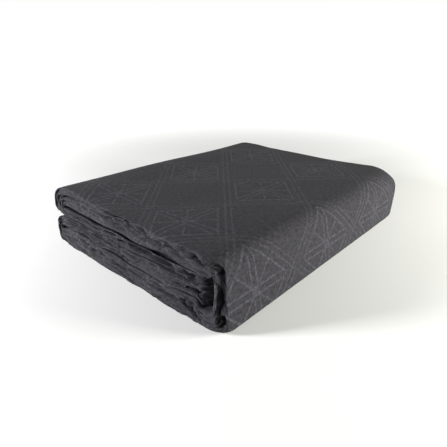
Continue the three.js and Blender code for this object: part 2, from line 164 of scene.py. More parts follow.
wavers = {                      # how each face rises and falls along the near end
    "lowerGap": {"height": 0.9, "wave": 34, "depth": 80, "seed": 301.5},
    "middleGap": {"height": 1.0, "wave": 30, "depth": 80, "seed": 305.5},
    "upperGap": {"height": 0.6, "wave": 38, "depth": 80, "seed": 309.5},
    "top": {"height": 0.5, "wave": 42, "depth": 50, "seed": 313.5},
}
droop = {                       # the top's near rim hangs a little, less at both corners
    "drop": 1.8, "from": 7.0, "length": 15.0,
    "startX": -175.0, "growth": 60.0, "fadeX": 120.0, "fade": 32.0,
}
layerSides = {                  # gap below, gap above, outer face is the high one
    "topInner": ("middleGap", "upperGap", False),
    "top": ("upperGap", "top", True),
    "bottom": ("floor", "lowerGap", False),
    "lowInner": ("lowerGap", "middleGap", True),
}

# Where the camera stood, in the pack's own mm before it is centred on its box
photoCamera = {
    "lookAt": (51.3, -82.8, 45.0),
    "distance": 545.9,
    "azimuth": 43.65,
    "elevation": 23.81,
    "roll": -0.91,
    "lens": 30.02,              # on a 36 mm wide sensor
}
mm = 0.001
packShift = Vector((cadHigh.x - spineNear["outX"] * mm, cadHigh.y - pack["farReach"] * mm, 0))


def makeCamera():
    # stands on a sphere round the look-at point, its sideways axis turned by the roll
    az, el, roll = (math.radians(photoCamera[k]) for k in ("azimuth", "elevation", "roll"))
    back = Vector((math.sin(az) * math.cos(el), -math.cos(az) * math.cos(el), math.sin(el)))
    right = Vector((math.cos(az), math.sin(az), 0))
    up = back.cross(right)
    side = right * math.cos(roll) + up * math.sin(roll)
    rise = back.cross(side)
    data = bpy.data.cameras.new("photoCamera")
    data.sensor_width = 36
    data.lens = photoCamera["lens"]
    data.clip_start, data.clip_end = 0.01, 50
    camera = bpy.data.objects.new("photoCamera", data)
    bpy.context.collection.objects.link(camera)
    place = Vector(photoCamera["lookAt"]) * mm + packShift + back * photoCamera["distance"] * mm
    turn = Matrix((side, rise, back)).transposed().to_4x4()
    camera.matrix_world = Matrix.Translation(place) @ turn
    bpy.context.scene.camera = camera


makeCamera()
print("camera set")


def smooth(t):
    # smooth step: 3 t squared minus 2 t cubed, between 0 and 1
    t = np.clip(t, 0, 1)
    return t * t * (3 - 2 * t)


def hump(distance, halfWidth):
    # square of one minus the squared share of the half width, 0 outside it
    t = np.minimum(np.abs(distance) / halfWidth, 1)
    return (1 - t * t) ** 2


def column(rows, name, x):
    # one column of a table at x, eased between its rows
    xs = np.array([row["x"] for row in rows], float)
    values = np.array([row[name] for row in rows], float)
    at = np.clip(x, xs[0], xs[-1])
    i = np.clip(np.searchsorted(xs, at, side="right") - 1, 0, len(xs) - 2)
    return values[i] + (values[i + 1] - values[i]) * smooth((at - xs[i]) / (xs[i + 1] - xs[i]))


noiseTable = np.random.default_rng(41).uniform(-1, 1, (256, 256))


def cloudNoise(x, y, octaves=2):
    # random values on whole-number points, eased between them, each octave half as large
    total, size = 0, 1.0
    for k in range(octaves):
        px, py = x * 2 ** k + 37.3 * k, y * 2 ** k + 11.7 * k
        i, j = np.floor(px).astype(int), np.floor(py).astype(int)
        sx, sy = smooth(px - i), smooth(py - j)
        v = lambda a, b: noiseTable[(i + a) % 256, (j + b) % 256]
        low = v(0, 0) + (v(1, 0) - v(0, 0)) * sx
        high = v(0, 1) + (v(1, 1) - v(0, 1)) * sx
        total = total + size * (low + (high - low) * sy)
        size *= 0.5
    return total


def halfGap(gap, x, fromNear):
    # half the air between two layers, wider where it gapes at the near end and in the hollow behind
    opened = sum(row["height"] * hump(x - row["x"], row["halfWidth"]) * hump(fromNear, row["depth"])
                 for row in gapes if row["gap"] == gap)
    row = hollows[gap]
    closing = 1 - smooth((x - hollowEnds["from"]) / hollowEnds["length"])
    hollow = row["height"] * hump(fromNear - row["from"], row["halfLength"]) * closing
    return (pack["layerGap"] + opened + hollow) / 2


def faceHeight(edge, side, x, fromNear):
    # the table's height and a waver that dies out along y; a gap's half on top, or the top's hanging rim off
    if edge == "floor":
        return np.zeros(np.broadcast(x, fromNear).shape)
    row = wavers[edge]
    waver = row["height"] * cloudNoise(x / row["wave"], 0 * x + row["seed"]) * hump(fromNear, row["depth"])
    height = column(heightRows, edge, x) + waver
    if edge == "top":
        hang = 1 - np.clip((fromNear - droop["from"]) / droop["length"], 0, 1)
        grown = smooth((x - droop["startX"]) / droop["growth"])
        left = 1 - smooth((x - droop["fadeX"]) / droop["fade"])
        return height - droop["drop"] * hang * hang * grown * left
    return height + side * halfGap(edge, x, fromNear)


def layerSection(layer, x, fromNear):
    # heights of a flat layer's inner and outer face
    below, above, outerIsHigh = layerSides[layer]
    low = faceHeight(below, 1, x, fromNear)
    high = faceHeight(above, -1, x, fromNear)
    return (low, high) if outerIsHigh else (high, low)


def lobeSection(lobe, lowerLayer, upperLayer, turn, fromNear):
    # the strip turns about the end of its gap: a small half circle inside, a squared oval outside
    x0 = np.full(turn.shape, lobe["gapEndX"])
    gapZ = column(heightRows, lobe["gap"], x0)
    radius = halfGap(lobe["gap"], x0, fromNear)
    lower = layerSection(lowerLayer, x0, fromNear)[1]
    upper = layerSection(upperLayer, x0, fromNear)[1]
    side, rise = np.sin(np.pi * turn), -np.cos(np.pi * turn)
    outSide = np.maximum(side, 0) ** pack["lobeSquareness"]
    outRise = np.sign(rise) * np.abs(rise) ** pack["lobeSquareness"]
    height = np.where(rise > 0, upper - gapZ, gapZ - lower)
    return (x0 - radius * side, gapZ + radius * rise,
            x0 - lobe["reach"] * outSide, gapZ + height * outRise)


def shapeOutline(shape, share):
    # a turn down from the top face, the leaning wall, a small turn under, and the floor back to the start
    r, q, lean = shape["topRadius"], shape["bottomRadius"], shape["lean"]
    arc, drop, foot, floor = (shape[k] for k in ("arc", "drop", "foot", "floor"))
    run = share * (arc + drop + foot + floor)
    a = np.minimum(run, arc) / r
    down = np.clip(run - arc, 0, drop)
    b = np.clip(run - arc - drop, 0, foot) / q - lean
    back = np.maximum(run - arc - drop - foot, 0)
    x = spine["startX"] + r * np.sin(a) + down * np.sin(lean) + q * (np.cos(b) - np.cos(lean)) - back
    z = spine["top"] - r * (1 - np.cos(a)) - down * np.cos(lean) - q * (np.sin(b) + np.sin(lean))
    return x, z


def spineOutline(share, fromNear):
    # from the near shape to the far one along the fold
    t = smooth((fromNear - spine["changeFrom"]) / spine["changeLength"])
    near, far = shapeOutline(spineNear, share), shapeOutline(spineFar, share)
    return near[0] + (far[0] - near[0]) * t, near[1] + (far[1] - near[1]) * t


def spineInner(share, fromNear):
    # half a squared oval from the top layer's inner face to the bottom layer's, eared at its upper turn
    startX = np.full(share.shape, spine["startX"])
    high = layerSection("top", startX, fromNear)[0]
    low = layerSection("bottom", startX, fromNear)[0]
    side, rise = np.sin(np.pi * share), np.cos(np.pi * share)
    x = startX + spine["archReach"] * np.abs(side) ** spine["archSquareness"]
    z = (high + low) / 2 + (high - low) / 2 * np.sign(rise) * np.abs(rise) ** spine["archSquareness"]
    return x, z + spine["ear"] * hump(share - spine["earShare"], spine["earHalfWidth"])


def sliceEdge(shape, z):
    # how far out the fold reaches at a height
    x, height = shapeOutline(shape, np.linspace(0, spine["wallShare"], 200))
    return np.interp(z, height[::-1], x[::-1])


def cornerBack(x, z, shape, rows):
    # how far a corner of the spine fold stands back: a quarter of an oval in plan, at each height its own
    across, along = column(rows, "across", z), column(rows, "along", z)
    past = np.clip((x - sliceEdge(shape, z) + across) / across, 0, 1)
    return along * (1 - np.sqrt(1 - past * past))


def nearEnd(layer, x):
    # half the length, the table's set-back and a sine ripple
    row = layerEnds[layer]
    ripple = row["depth"] * np.sin(2 * np.pi * x / row["wave"] + row["phase"])
    return -pack["length"] / 2 + column(nearRows, layer, x) + ripple


def farEnd(layer, x):
    # half the length less the table's set-back
    return pack["length"] / 2 - column(farRows, layer, x)


meshSteps = {
    "run": 140, "lobe": 44, "spine": 66,        # stations of each kind of segment
    "between": 2.5,             # about how far apart the last of one and the first of the next are, mm
    "nose": (0.35, 0.6, 0.8, 0.94),             # shares of the nose's length
    "cap": 64, "farCap": 12,    # points across each end
    "outer": (16, 18, 5), "inner": (13, 6, 2),  # along a face, at its near end, between and at its far end
    "nearPart": 0.11, "farPart": 0.95,          # shares of a face where those stretches meet
}


def makeSegments():
    # the strip from one turned-in end to the other, as runs, lobes and the spine fold
    startX = spine["startX"]
    n = meshSteps["run"]
    segments = [
        {"kind": "run", "layers": ("topInner", "topInner"),
         "x": np.linspace(pack["innerEndX"], upperLobe["gapEndX"], n)},
        {"kind": "lobe", "layers": ("topInner", "top"), "lobe": upperLobe},
        {"kind": "run", "layers": ("top", "top"), "x": np.linspace(upperLobe["gapEndX"], startX, n)},
        {"kind": "spine", "layers": ("top", "bottom")},
        {"kind": "run", "layers": ("bottom", "bottom"), "x": np.linspace(startX, lowerLobe["gapEndX"], n)},
        {"kind": "lobe", "layers": ("bottom", "lowInner"), "lobe": lowerLobe},
        {"kind": "run", "layers": ("lowInner", "lowInner"),
         "x": np.linspace(lowerLobe["gapEndX"], pack["innerEndX"], n)},
    ]
    for seg in segments:
        if seg["kind"] != "run":
            seg["turn"] = np.linspace(0, 1, meshSteps[seg["kind"]] + 2)[1:-1]
        seg["count"] = len(seg["x"] if seg["kind"] == "run" else seg["turn"])
    return segments


def segmentSection(seg, fromNear):
    # inner and outer points of every station of a segment, for each y of its ring
    if seg["kind"] == "run":
        x = seg["x"][:, None] + 0 * fromNear
        inner, outer = layerSection(seg["layers"][0], x, fromNear)
        return x, inner, x, outer
    turn = seg["turn"][:, None] + 0 * fromNear
    if seg["kind"] == "lobe":
        return lobeSection(seg["lobe"], *seg["layers"], turn, fromNear)
    xo, zo = spineOutline(turn, fromNear)
    xi, zi = spineInner(turn, fromNear)
    return xi, zi, xo, zo


# Near end: the plies of each layer show as rolls with grooves between them
plies = {
    "edges": (-0.6, -0.22, 0.18, 0.52),      # grooves across a layer, -1 inside to 1 outside
    "wander": 0.16,
    "wanderLength": 52.0,
    "open": 10.5,               # depth of a groove that stands open
    "shut": 3.4,
    "openLength": 55.0,
    "reach": 1.6,               # how far one roll stands out past the next
    "reachLength": 40.0,
    "rim": 0.5,                 # rounding of the first and last roll
}
cover = {                       # outermost ply, it stands off at the lobes
    "thick": 4.0, "from": -155.0, "length": 45.0,
    "gap": 1.1, "gapEdge": 0.8,
}
coverRows = [
    {"layer": "topInner", "x": -150, "halfWidth": 30, "depth": 3},
    {"layer": "bottom", "x": -158, "halfWidth": 30, "depth": 7},
    {"layer": "lowInner", "x": -158, "halfWidth": 36, "depth": 7},
]
crumples = [                    # finer creases, as valleys along the zero lines of cloud noise
    {"along": 42.0, "acrossMm": 5.0, "lean": 1.4, "valley": 0.45, "depth": 4.4, "seed": 90.0},
    {"along": 20.0, "acrossMm": 3.4, "lean": -1.5, "valley": 0.45, "depth": 1.6, "seed": 140.0},
]
crease = {
    "sag": 4.0, "slope": 0.6,   # how far a trough runs down as it runs in
    "sagShare": 0.75,           # of the cloth below it, at most
    "wobble": 0.7, "wobbleLength": 12.0,
    "fade": 0.25,               # share of its length over which each end dies out
}
creases = [                     # main creases of the near end, x and z along each
    {"path": ((-58, 80.8), (-41, 80.6), (-10, 80.2), (16, 80)), "width": 2.6, "depth": 11, "slot": True},
    {"path": ((-62, 73), (-47, 73.3), (-16, 72.4), (6, 72.8)), "width": 4, "depth": 9},
    {"path": ((-135, 75), (-104, 79)), "width": 4.5, "depth": 6},
    {"path": ((-166, 69), (-154, 75), (-146, 76.8), (-128, 77.5)), "width": 3.8, "depth": 14},
    {"path": ((-180, 54), (-177, 62), (-174, 70), (-169, 79)), "width": 5, "depth": 9},
    {"path": ((-160, 68), (-136, 69)), "width": 4, "depth": 6},
    {"path": ((22, 81), (38, 80), (58, 76)), "width": 5, "depth": 9},
    {"path": ((42, 68), (57, 71.5), (70, 70.5), (96, 67)), "width": 4.4, "depth": 9},
    {"path": ((84, 74), (104, 74), (124, 71.5)), "width": 4, "depth": 7},
    {"path": ((108, 82), (126, 80), (146, 75.5)), "width": 6.5, "depth": 6},
    {"path": ((130, 76), (142, 75), (151, 74), (164, 72)), "width": 3.6, "depth": 11},
    {"path": ((148, 80), (156, 77), (166, 73)), "width": 4.7, "depth": -5},
    {"path": ((104, 70), (124, 68)), "width": 4, "depth": 6},
    {"path": ((8, 77), (28, 75), (48, 73)), "width": 4, "depth": 7},
    {"path": ((-110, 72.5), (-81, 70), (-60, 67)), "width": 4.6, "depth": 6},
    {"path": ((-118, 57), (-97, 56.2), (-62, 55.2), (-36, 56)), "width": 4, "depth": 8},
    {"path": ((-36, 56), (-8, 57.5)), "width": 4, "depth": 7},
    {"path": ((-8, 60), (8, 57), (21, 53)), "width": 6, "depth": -5},
    {"path": ((-6, 53), (16, 54)), "width": 4, "depth": 6},
    {"path": ((12, 54), (42, 55), (86, 54.5)), "width": 4.4, "depth": 7},
    {"path": ((18, 57), (40, 57.5), (66, 58.5), (82, 57)), "width": 5.5, "depth": 11},
    {"path": ((72, 59.5), (90, 56.5), (112, 52)), "width": 9, "depth": 21},
    {"path": ((118, 59), (131, 55), (143, 50)), "width": 6, "depth": 17},
    {"path": ((-146, 42), (-112, 42), (-97, 41.2), (-80, 41)), "width": 7, "depth": 10},
    {"path": ((-70, 40.5), (-45, 41.3), (-30, 41.7), (-8, 41.5)), "width": 6, "depth": 12},
    {"path": ((-18, 41.5), (2, 42)), "width": 4, "depth": 9},
    {"path": ((40, 43.5), (62, 44), (84, 43.5)), "width": 4, "depth": 6},
    {"path": ((-118, 32.5), (-98, 34), (-78, 35.5)), "width": 3.6, "depth": 11},
    {"path": ((-26, 32.5), (2, 33)), "width": 3.6, "depth": 8},
    {"path": ((2, 31), (24, 31.5)), "width": 3.4, "depth": 6},
    {"path": ((4, 40.5), (40, 40)), "width": 5, "depth": 6},
    {"path": ((110, 38.6), (122, 38.8), (134, 39), (152, 39.4)), "width": 3.4, "depth": 12, "slot": True},
    {"path": ((-142, 15), (-120, 18)), "width": 4, "depth": 6},
    {"path": ((-90, 17), (-76, 22), (-66, 27)), "width": 6, "depth": 5},
    {"path": ((-74, 18), (-52, 21), (-26, 22.5)), "width": 4, "depth": 10},
    {"path": ((-64, 14.5), (-36, 16.5)), "width": 4.4, "depth": 6},
    {"path": ((-18, 20.5), (4, 22)), "width": 6, "depth": 5},
    {"path": ((-20, 14), (3, 16.5), (22, 18)), "width": 5, "depth": 8},
    {"path": ((78, 18.5), (94, 20.5), (112, 20)), "width": 8, "depth": 5},
    {"path": ((120, 27), (126, 19), (136, 12), (154, 6)), "width": 5.5, "depth": 10},
    {"path": ((134, 24), (144, 19), (160, 15.5)), "width": 6, "depth": 5},
    {"path": ((-50, 3), (10, 5), (66, 5), (151, 4)), "width": 2.9, "depth": 3},
]
cornerRows = [                  # plan rounding of the near corner, its x column is the height
    {"x": 0, "across": 22, "along": 22},
    {"x": 8, "across": 18, "along": 17},
    {"x": 22, "across": 11, "along": 9},
    {"x": 45, "across": 10, "along": 10},
    {"x": 60, "across": 10, "along": 12},
    {"x": 76, "across": 12, "along": 11},
    {"x": 82, "across": 14, "along": 9},
]
farCornerRows = [
    {"x": 0, "across": 24, "along": 26},
    {"x": 12, "across": 18, "along": 20},
    {"x": 45, "across": 14, "along": 14},
    {"x": 80, "across": 28, "along": 28},
]
foldWall = {                    # along the wall of the spine fold, rims and plies show less
    "rimLoss": 0.7, "plyLoss": 0.75,
    "from": 0.05, "growth": 0.3, "fadeFrom": 0.72, "fade": 0.2,     # shares down the spine fold
}
slit = {                        # the fold gapes at the near corner
    "depth": 40.0, "steep": 0.22,
    "least": 0.02, "full": 0.2,     # half widths between which it grows to its depth
    "wander": 0.08, "wanderRate": 16.0,
}
tuck = {                        # its inner ply leans into the hollow
    "reach": 14.0, "slope": 1.1, "hold": 30.0, "fade": 60.0,
    "from": 0.12, "growth": 0.12, "to": 0.68, "end": 0.08,      # shares down the spine fold
    "skin": 0.85, "skinEdge": 0.3,      # across the layer, where the outer skin stays
}
slitRows = {                    # x is the share of the way down the spine fold
    "hook": [
        {"x": 0.08, "middle": 0.50, "half": 0.02},
        {"x": 0.11, "middle": 0.52, "half": 0.18},
        {"x": 0.15, "middle": 0.54, "half": 0.25},
        {"x": 0.20, "middle": 0.56, "half": 0.25},
        {"x": 0.24, "middle": 0.56, "half": 0.17},
        {"x": 0.27, "middle": 0.56, "half": 0.09},
        {"x": 0.30, "middle": 0.68, "half": 0.08},
        {"x": 0.33, "middle": 0.86, "half": 0.08},
        {"x": 0.36, "middle": 0.98, "half": 0.02},
    ],
    "mouth": [
        {"x": 0.33, "middle": -0.22, "half": 0.02},
        {"x": 0.35, "middle": -0.17, "half": 0.22},
        {"x": 0.37, "middle": -0.10, "half": 0.46},
        {"x": 0.41, "middle": 0.00, "half": 0.74},
        {"x": 0.46, "middle": 0.02, "half": 0.74},
        {"x": 0.51, "middle": 0.02, "half": 0.68},
        {"x": 0.55, "middle": 0.02, "half": 0.61},
        {"x": 0.59, "middle": 0.00, "half": 0.50},
        {"x": 0.63, "middle": -0.03, "half": 0.37},
        {"x": 0.67, "middle": -0.08, "half": 0.27},
        {"x": 0.71, "middle": -0.12, "half": 0.15},
        {"x": 0.74, "middle": -0.16, "half": 0.02},
    ],
    "toe": [
        {"x": 0.57, "middle": 0.74, "half": 0.02},
        {"x": 0.60, "middle": 0.66, "half": 0.14},
        {"x": 0.64, "middle": 0.52, "half": 0.17},
        {"x": 0.68, "middle": 0.36, "half": 0.17},
        {"x": 0.72, "middle": 0.20, "half": 0.15},
        {"x": 0.76, "middle": 0.05, "half": 0.02},
    ],
}


def plyBack(run, across, openShare, reachShare, coverDepth, coverEdge):
    # each ply is a full roll between two grooves: the set-back grows as the third power of u,
    # which is -1 and 1 at the grooves; each groove and roll reads its own row of the noise
    flat = 0 * run
    edges, depths = [flat - 1], [flat + plies["rim"]]
    for k, base in enumerate(plies["edges"]):
        wander = cloudNoise(run / plies["wanderLength"], flat + 5.5 * k + 0.5)
        edges.append(base + plies["wander"] * wander)
        openness = smooth(0.5 + 0.9 * cloudNoise(run / plies["openLength"], flat + 30.5 + 9 * k))
        depths.append(plies["shut"] + (plies["open"] - plies["shut"]) * openness * openShare)
    edges += [np.maximum(coverEdge, edges[-1] + 0.1), flat + 1]
    depths += [plies["shut"] + coverDepth, flat + plies["rim"]]
    back = flat
    for k in range(len(edges) - 1):
        low, high = edges[k], edges[k + 1]
        u = np.clip((2 * across - low - high) / (high - low), -1, 1)
        depth = depths[k] + (depths[k + 1] - depths[k]) * (u + 1) / 2
        reach = plies["reach"] * reachShare * cloudNoise(run / plies["reachLength"], flat + 60.5 + 7 * k)
        roll = depth * np.abs(u) ** 3 + reach * (1 - u * u)
        back = np.where((across >= low) & (across <= high), roll, back)
    return back


def crumpleBack(run, depthIn):
    # slanting valleys: deepest where the cloud noise is zero, gone where it passes the valley's width
    total = 0
    for row in crumples:
        slanted = (run + row["lean"] * depthIn) / row["along"]
        n = cloudNoise(slanted, depthIn / row["acrossMm"] + row["seed"])
        total = total + row["depth"] * np.maximum(0, 1 - np.abs(n) / row["valley"])
    return total


def pathDistance(path, x, z):
    # distance to the nearest straight piece of a path, and the share of the path before that place
    lengths = [math.dist(a, b) for a, b in zip(path, path[1:])]
    nearest, share, done = np.full(x.shape, 1e3), np.zeros(x.shape), 0.0
    for (x0, z0), (x1, z1), length in zip(path, path[1:], lengths):
        t = np.clip(((x - x0) * (x1 - x0) + (z - z0) * (z1 - z0)) / length ** 2, 0, 1)
        off = np.hypot(x - x0 - t * (x1 - x0), z - z0 - t * (z1 - z0))
        share = np.where(off < nearest, (done + t * length) / sum(lengths), share)
        nearest = np.minimum(nearest, off)
        done += length
    return nearest, share


def creaseBack(x, z):
    # two rolls of cloth meet: the set-back grows with the square of the nearness, and dies out at both ends;
    # a slot between two plies has steep walls instead
    wobble = crease["wobble"] * cloudNoise(x / crease["wobbleLength"], z / crease["wobbleLength"] + 200)
    total = 0
    for row in creases:
        off, share = pathDistance(row["path"], x, z + wobble)
        s = np.clip(1 - off / row["width"], 0, 1)
        fade = smooth(share / crease["fade"]) * smooth((1 - share) / crease["fade"])
        total = total + row["depth"] * (smooth(2 * s) if "slot" in row else s * s) * fade
    return total


def creaseSag(back, room):
    # a deep crease runs down as it runs in, ever less, and never past the layer's low face
    sag = crease["sag"] * (1 - np.exp(-crease["slope"] * np.maximum(back, 0) / crease["sag"]))
    return np.minimum(sag, crease["sagShare"] * room)


def slitBack(share, across):
    # the deepest of three slits, each a trough with steep walls about its own wandering middle
    wander = slit["wander"] * cloudNoise(share * slit["wanderRate"], 0 * share + 7.5)
    deepest = 0 * share
    for rows in slitRows.values():
        half = np.maximum(column(rows, "half", share), slit["least"])
        wall = smooth((1 - np.abs(across - column(rows, "middle", share) - wander) / half) / slit["steep"])
        deepest = np.maximum(deepest, slit["depth"] * wall * smooth((half - slit["least"]) / slit["full"]))
    return deepest


def tuckIn(share, across, depth):
    # grows with the depth to its full reach, holds, and fades out; nothing at the outer skin
    grown = tuck["reach"] * (1 - np.exp(-tuck["slope"] * np.maximum(depth, 0) / tuck["reach"]))
    held = 1 - smooth((depth - tuck["hold"]) / tuck["fade"])
    zone = smooth((share - tuck["from"]) / tuck["growth"]) * smooth((tuck["to"] - share) / tuck["end"])
    return grown * held * zone * smooth((tuck["skin"] - across) / tuck["skinEdge"])


def coverGroove(layer, x):
    # a hump for each place where the outermost ply stands off
    return sum(row["depth"] * hump(x - row["x"], row["halfWidth"])
               for row in coverRows if row["layer"] == layer) + 0 * x


def swell(x, y, z):
    # slanting sine waves, nothing at the floor and full at the top
    wave = sum(row["height"] * np.sin(2 * np.pi * (x / row["alongX"] + y / row["alongY"]) + row["phase"])
               for row in swells)
    return wave * z / pack["height"]


def facePlaces(near, middle, far):
    # shares along a face, closest together at the near end and loosest in the middle
    nearPart, farPart = meshSteps["nearPart"], meshSteps["farPart"]
    first = nearPart * (np.arange(near) / near) ** 1.6
    second = np.linspace(nearPart, farPart, middle, endpoint=False)
    return np.concatenate([first, second, np.linspace(farPart, 1, far)])[1:-1]


capAcross = np.sin(np.pi / 2 * np.linspace(-1, 1, meshSteps["cap"]))
farAcross = np.sin(np.pi / 2 * np.linspace(1, -1, meshSteps["farCap"]))
outerPlaces, innerPlaces = facePlaces(*meshSteps["outer"]), facePlaces(*meshSteps["inner"])
ringAcross = np.concatenate([capAcross, np.ones(len(outerPlaces)), farAcross, -np.ones(len(innerPlaces))])


def coverShape(seg, xo, thick, blend):
    # groove beside the outermost ply, and the ply's inner side across the layer; it is fuller round a lobe
    if seg["kind"] == "lobe":
        lobe = seg["lobe"]
        ply = lobe["ply"] + (lobe["fullPly"] - lobe["ply"]) * np.sin(np.pi * seg["turn"])[:, None] ** 0.5
        return lobe["groove"] + 0 * thick, 1 - 2 * ply / thick
    lobe = upperLobe if seg["layers"][0] in ("topInner", "top") else lowerLobe
    ply = lobe["ply"] + (cover["thick"] - lobe["ply"]) * smooth((xo - cover["from"]) / cover["length"])
    return blend(lambda layer: coverGroove(layer, xo)), 1 - 2 * ply / thick


def nearCap(seg, section, run, blend):
    # y of the near end: set-backs of plies, creases, rims, corner and lean added up, and how far creases sag
    xi, zi, xo, zo = section
    thick = np.hypot(xo - xi, zo - zi)
    rows = {name: blend(lambda layer: layerEnds[layer][name] + 0 * thick)
            for name in ("plyOpen", "plyReach", "innerRound", "leanBack")}
    a = np.broadcast_to(capAcross, (seg["count"], len(capAcross)))
    x, z = xi + (xo - xi) * (a + 1) / 2, zi + (zo - zi) * (a + 1) / 2
    runs, flat = run + 0 * a, 0 * a

    groove, coverEdge = coverShape(seg, xo, thick, blend)
    back = plyBack(runs, a, rows["plyOpen"] + flat, rows["plyReach"] + flat, groove + flat, coverEdge + flat)
    fromEdge = np.abs(a - coverEdge) * thick / 2
    back = back + groove * (1 - smooth((fromEdge - cover["gap"]) / cover["gapEdge"]))
    inside = 1 - a ** 6         # creases die out at both faces
    creased = creaseBack(x, z) * inside
    back = back + crumpleBack(runs, a * thick / 2) * inside + creased
    sag = creaseSag(creased, z - np.minimum(zi, zo)) / (zo - zi) if seg["kind"] == "run" else flat

    outerRound = np.minimum(thick / 2, pack["endRound"])
    rims = np.where(a > 0, outerRound, rows["innerRound"]) * (1 - np.sqrt(1 - a ** 4))
    leaning = rows["leanBack"] * ((a + 1) / 2) ** 1.5
    if seg["kind"] == "spine":
        share = seg["turn"][:, None] + flat
        wall = smooth((share - foldWall["from"]) / foldWall["growth"])
        wall = wall * (1 - smooth((share - foldWall["fadeFrom"]) / foldWall["fade"]))
        rims = rims * (1 - foldWall["rimLoss"] * wall)
        leaning = leaning * (1 - wall)
        back = back * (1 - foldWall["plyLoss"] * wall) + slitBack(share, a)
    near = blend(lambda layer: nearEnd(layer, xo))
    return near, near + rims + cornerBack(x, z, spineNear, cornerRows) + leaning + back, sag


def farCap(section, blend):
    # y of the far end: a rounded rim, and the corner of the spine fold
    xi, zi, xo, zo = section
    rim = np.minimum(np.hypot(xo - xi, zo - zi) / 2, pack["endRound"])
    x, z = xi + (xo - xi) * (farAcross + 1) / 2, zi + (zo - zi) * (farAcross + 1) / 2
    far = blend(lambda layer: farEnd(layer, xo))
    return far - rim * (1 - np.sqrt(1 - farAcross ** 2)) - cornerBack(x, z, spineFar, farCornerRows)


def segmentRings(seg, runStart):
    # one closed ring a station: near end, outer face, far end, inner face; run is the way along the strip
    still = np.full((seg["count"], 1), pack["length"] / 2)
    section = xi, zi, xo, zo = segmentSection(seg, still)
    thick = np.hypot(xo - xi, zo - zi)
    step = np.hypot(np.diff((xi + xo)[:, 0]) / 2, np.diff((zi + zo)[:, 0]) / 2)
    run = runStart + np.concatenate([[meshSteps["between"]], step]).cumsum()[:, None]
    first, last = seg["layers"]
    mix = 0 * still if seg["kind"] == "run" else smooth(seg["turn"])[:, None]
    blend = lambda f: f(first) * (1 - mix) + f(last) * mix

    near, capY, sag = nearCap(seg, section, run, blend)
    farY = farCap(section, blend)
    outerY = capY[:, -1:] + (farY[:, :1] - capY[:, -1:]) * outerPlaces
    innerY = capY[:, :1] + (farY[:, -1:] - capY[:, :1]) * innerPlaces[::-1]
    y = np.concatenate([capY, outerY, farY, innerY], axis=1)
    xi, zi, xo, zo = segmentSection(seg, y + pack["length"] / 2)
    share = (ringAcross + 1) / 2 + 0 * y
    share[:, :len(capAcross)] -= sag
    if seg["kind"] == "spine":
        share = share - tuckIn(seg["turn"][:, None], ringAcross, y - near) / thick
    x, z = xi + (xo - xi) * share, zi + (zo - zi) * share
    return np.stack([x, y, z + swell(x, y, z)], axis=-1), run[-1, 0]


def noseRings(ring, shares):
    # a ring drawn in to a rounded nose past a turned-in end: out by the share, flatter as a half circle is
    middle = ring[:, 2].mean()
    made = np.repeat(ring[None], len(shares), axis=0)
    s = np.array(shares)[:, None]
    made[:, :, 0] += pack["noseLength"] * s
    made[:, :, 2] = middle + (ring[:, 2] - middle) * np.sqrt(1 - s * s)
    return made


def clothMap(rings):
    # u is the length along the outer face, x itself on the top; v is y there and runs on round both ends
    cap = len(capAcross)
    edge = rings[:, cap + len(outerPlaces) // 2]
    u = np.concatenate([[0], np.hypot(np.diff(edge[:, 0]), np.diff(edge[:, 2]))]).cumsum()
    onTop = np.argmin(np.abs(edge[:, 0]) + 1000 * (edge[:, 2] < 0.9 * pack["height"]))
    u = u - u[onTop] + edge[onTop, 0]
    half = rings.shape[1] - len(innerPlaces) // 2       # the seam lies inside the fold
    order = np.concatenate([np.arange(half, rings.shape[1]), np.arange(half)])
    walk = rings[:, order]
    v = np.linalg.norm(np.diff(walk, axis=1), axis=2).cumsum(axis=1)
    v = np.concatenate([np.zeros((len(v), 1)), v], axis=1)
    start = list(order).index(cap - 1)
    v = v - v[:, start:start + 1] + walk[:, start, 1][:, None]
    out = np.empty(rings.shape[:2] + (2,))
    out[:, order, 1] = v
    out[:, :, 0] = u[:, None]
    return out


def gridFaces(rows, cols):
    # quads between neighbouring rings, each ring closed on itself
    a = (np.arange(rows - 1)[:, None] * cols + np.arange(cols)).ravel()
    b = (np.arange(rows - 1)[:, None] * cols + (np.arange(cols) + 1) % cols).ravel()
    return np.stack([a, a + cols, b + cols, b], axis=1)


def makeComforter():
    # all segments' rings in one strip, a nose at each end, quads between the rings
    rings, runStart = [], 0.0
    for seg in makeSegments():
        made, runStart = segmentRings(seg, runStart)
        rings.append(made)
    rings = np.concatenate(rings)
    shares = meshSteps["nose"]
    rings = np.concatenate([noseRings(rings[0], shares[::-1]), rings, noseRings(rings[-1], shares)])
    rows, cols = rings.shape[:2]
    cloth = clothMap(rings).reshape(-1, 2)
    points = rings.reshape(-1, 3) * mm + np.array(packShift)
    caps = [list(range(cols)), list(range(rows * cols - 1, (rows - 1) * cols - 1, -1))]
    data = bpy.data.meshes.new("foldedComforter")
    data.from_pydata(points.tolist(), [], gridFaces(rows, cols).tolist() + caps)
    data.polygons.foreach_set("use_smooth", np.ones(len(data.polygons), bool))
    corners = np.empty(len(data.loops), int)
    data.loops.foreach_get("vertex_index", corners)
    uvMap = data.uv_layers.new(name="cloth")
    uvMap.data.foreach_set("uv", (cloth[corners] * mm).ravel())
    obj = bpy.data.objects.new("foldedComforter", data)
    bpy.context.collection.objects.link(obj)
    return obj


comforter = makeComforter()
print("comforter mesh", len(comforter.data.vertices), "points")

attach(comforter, "root")
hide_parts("comforter")


def hexColour(code):
    # sRGB hex to linear red, green, blue
    srgb = np.array([int(code[k:k + 2], 16) for k in (1, 3, 5)]) / 255
    linear = np.where(srgb <= 0.04045, srgb / 12.92, ((srgb + 0.055) / 1.055) ** 2.4)
    return (*linear.tolist(), 1.0)


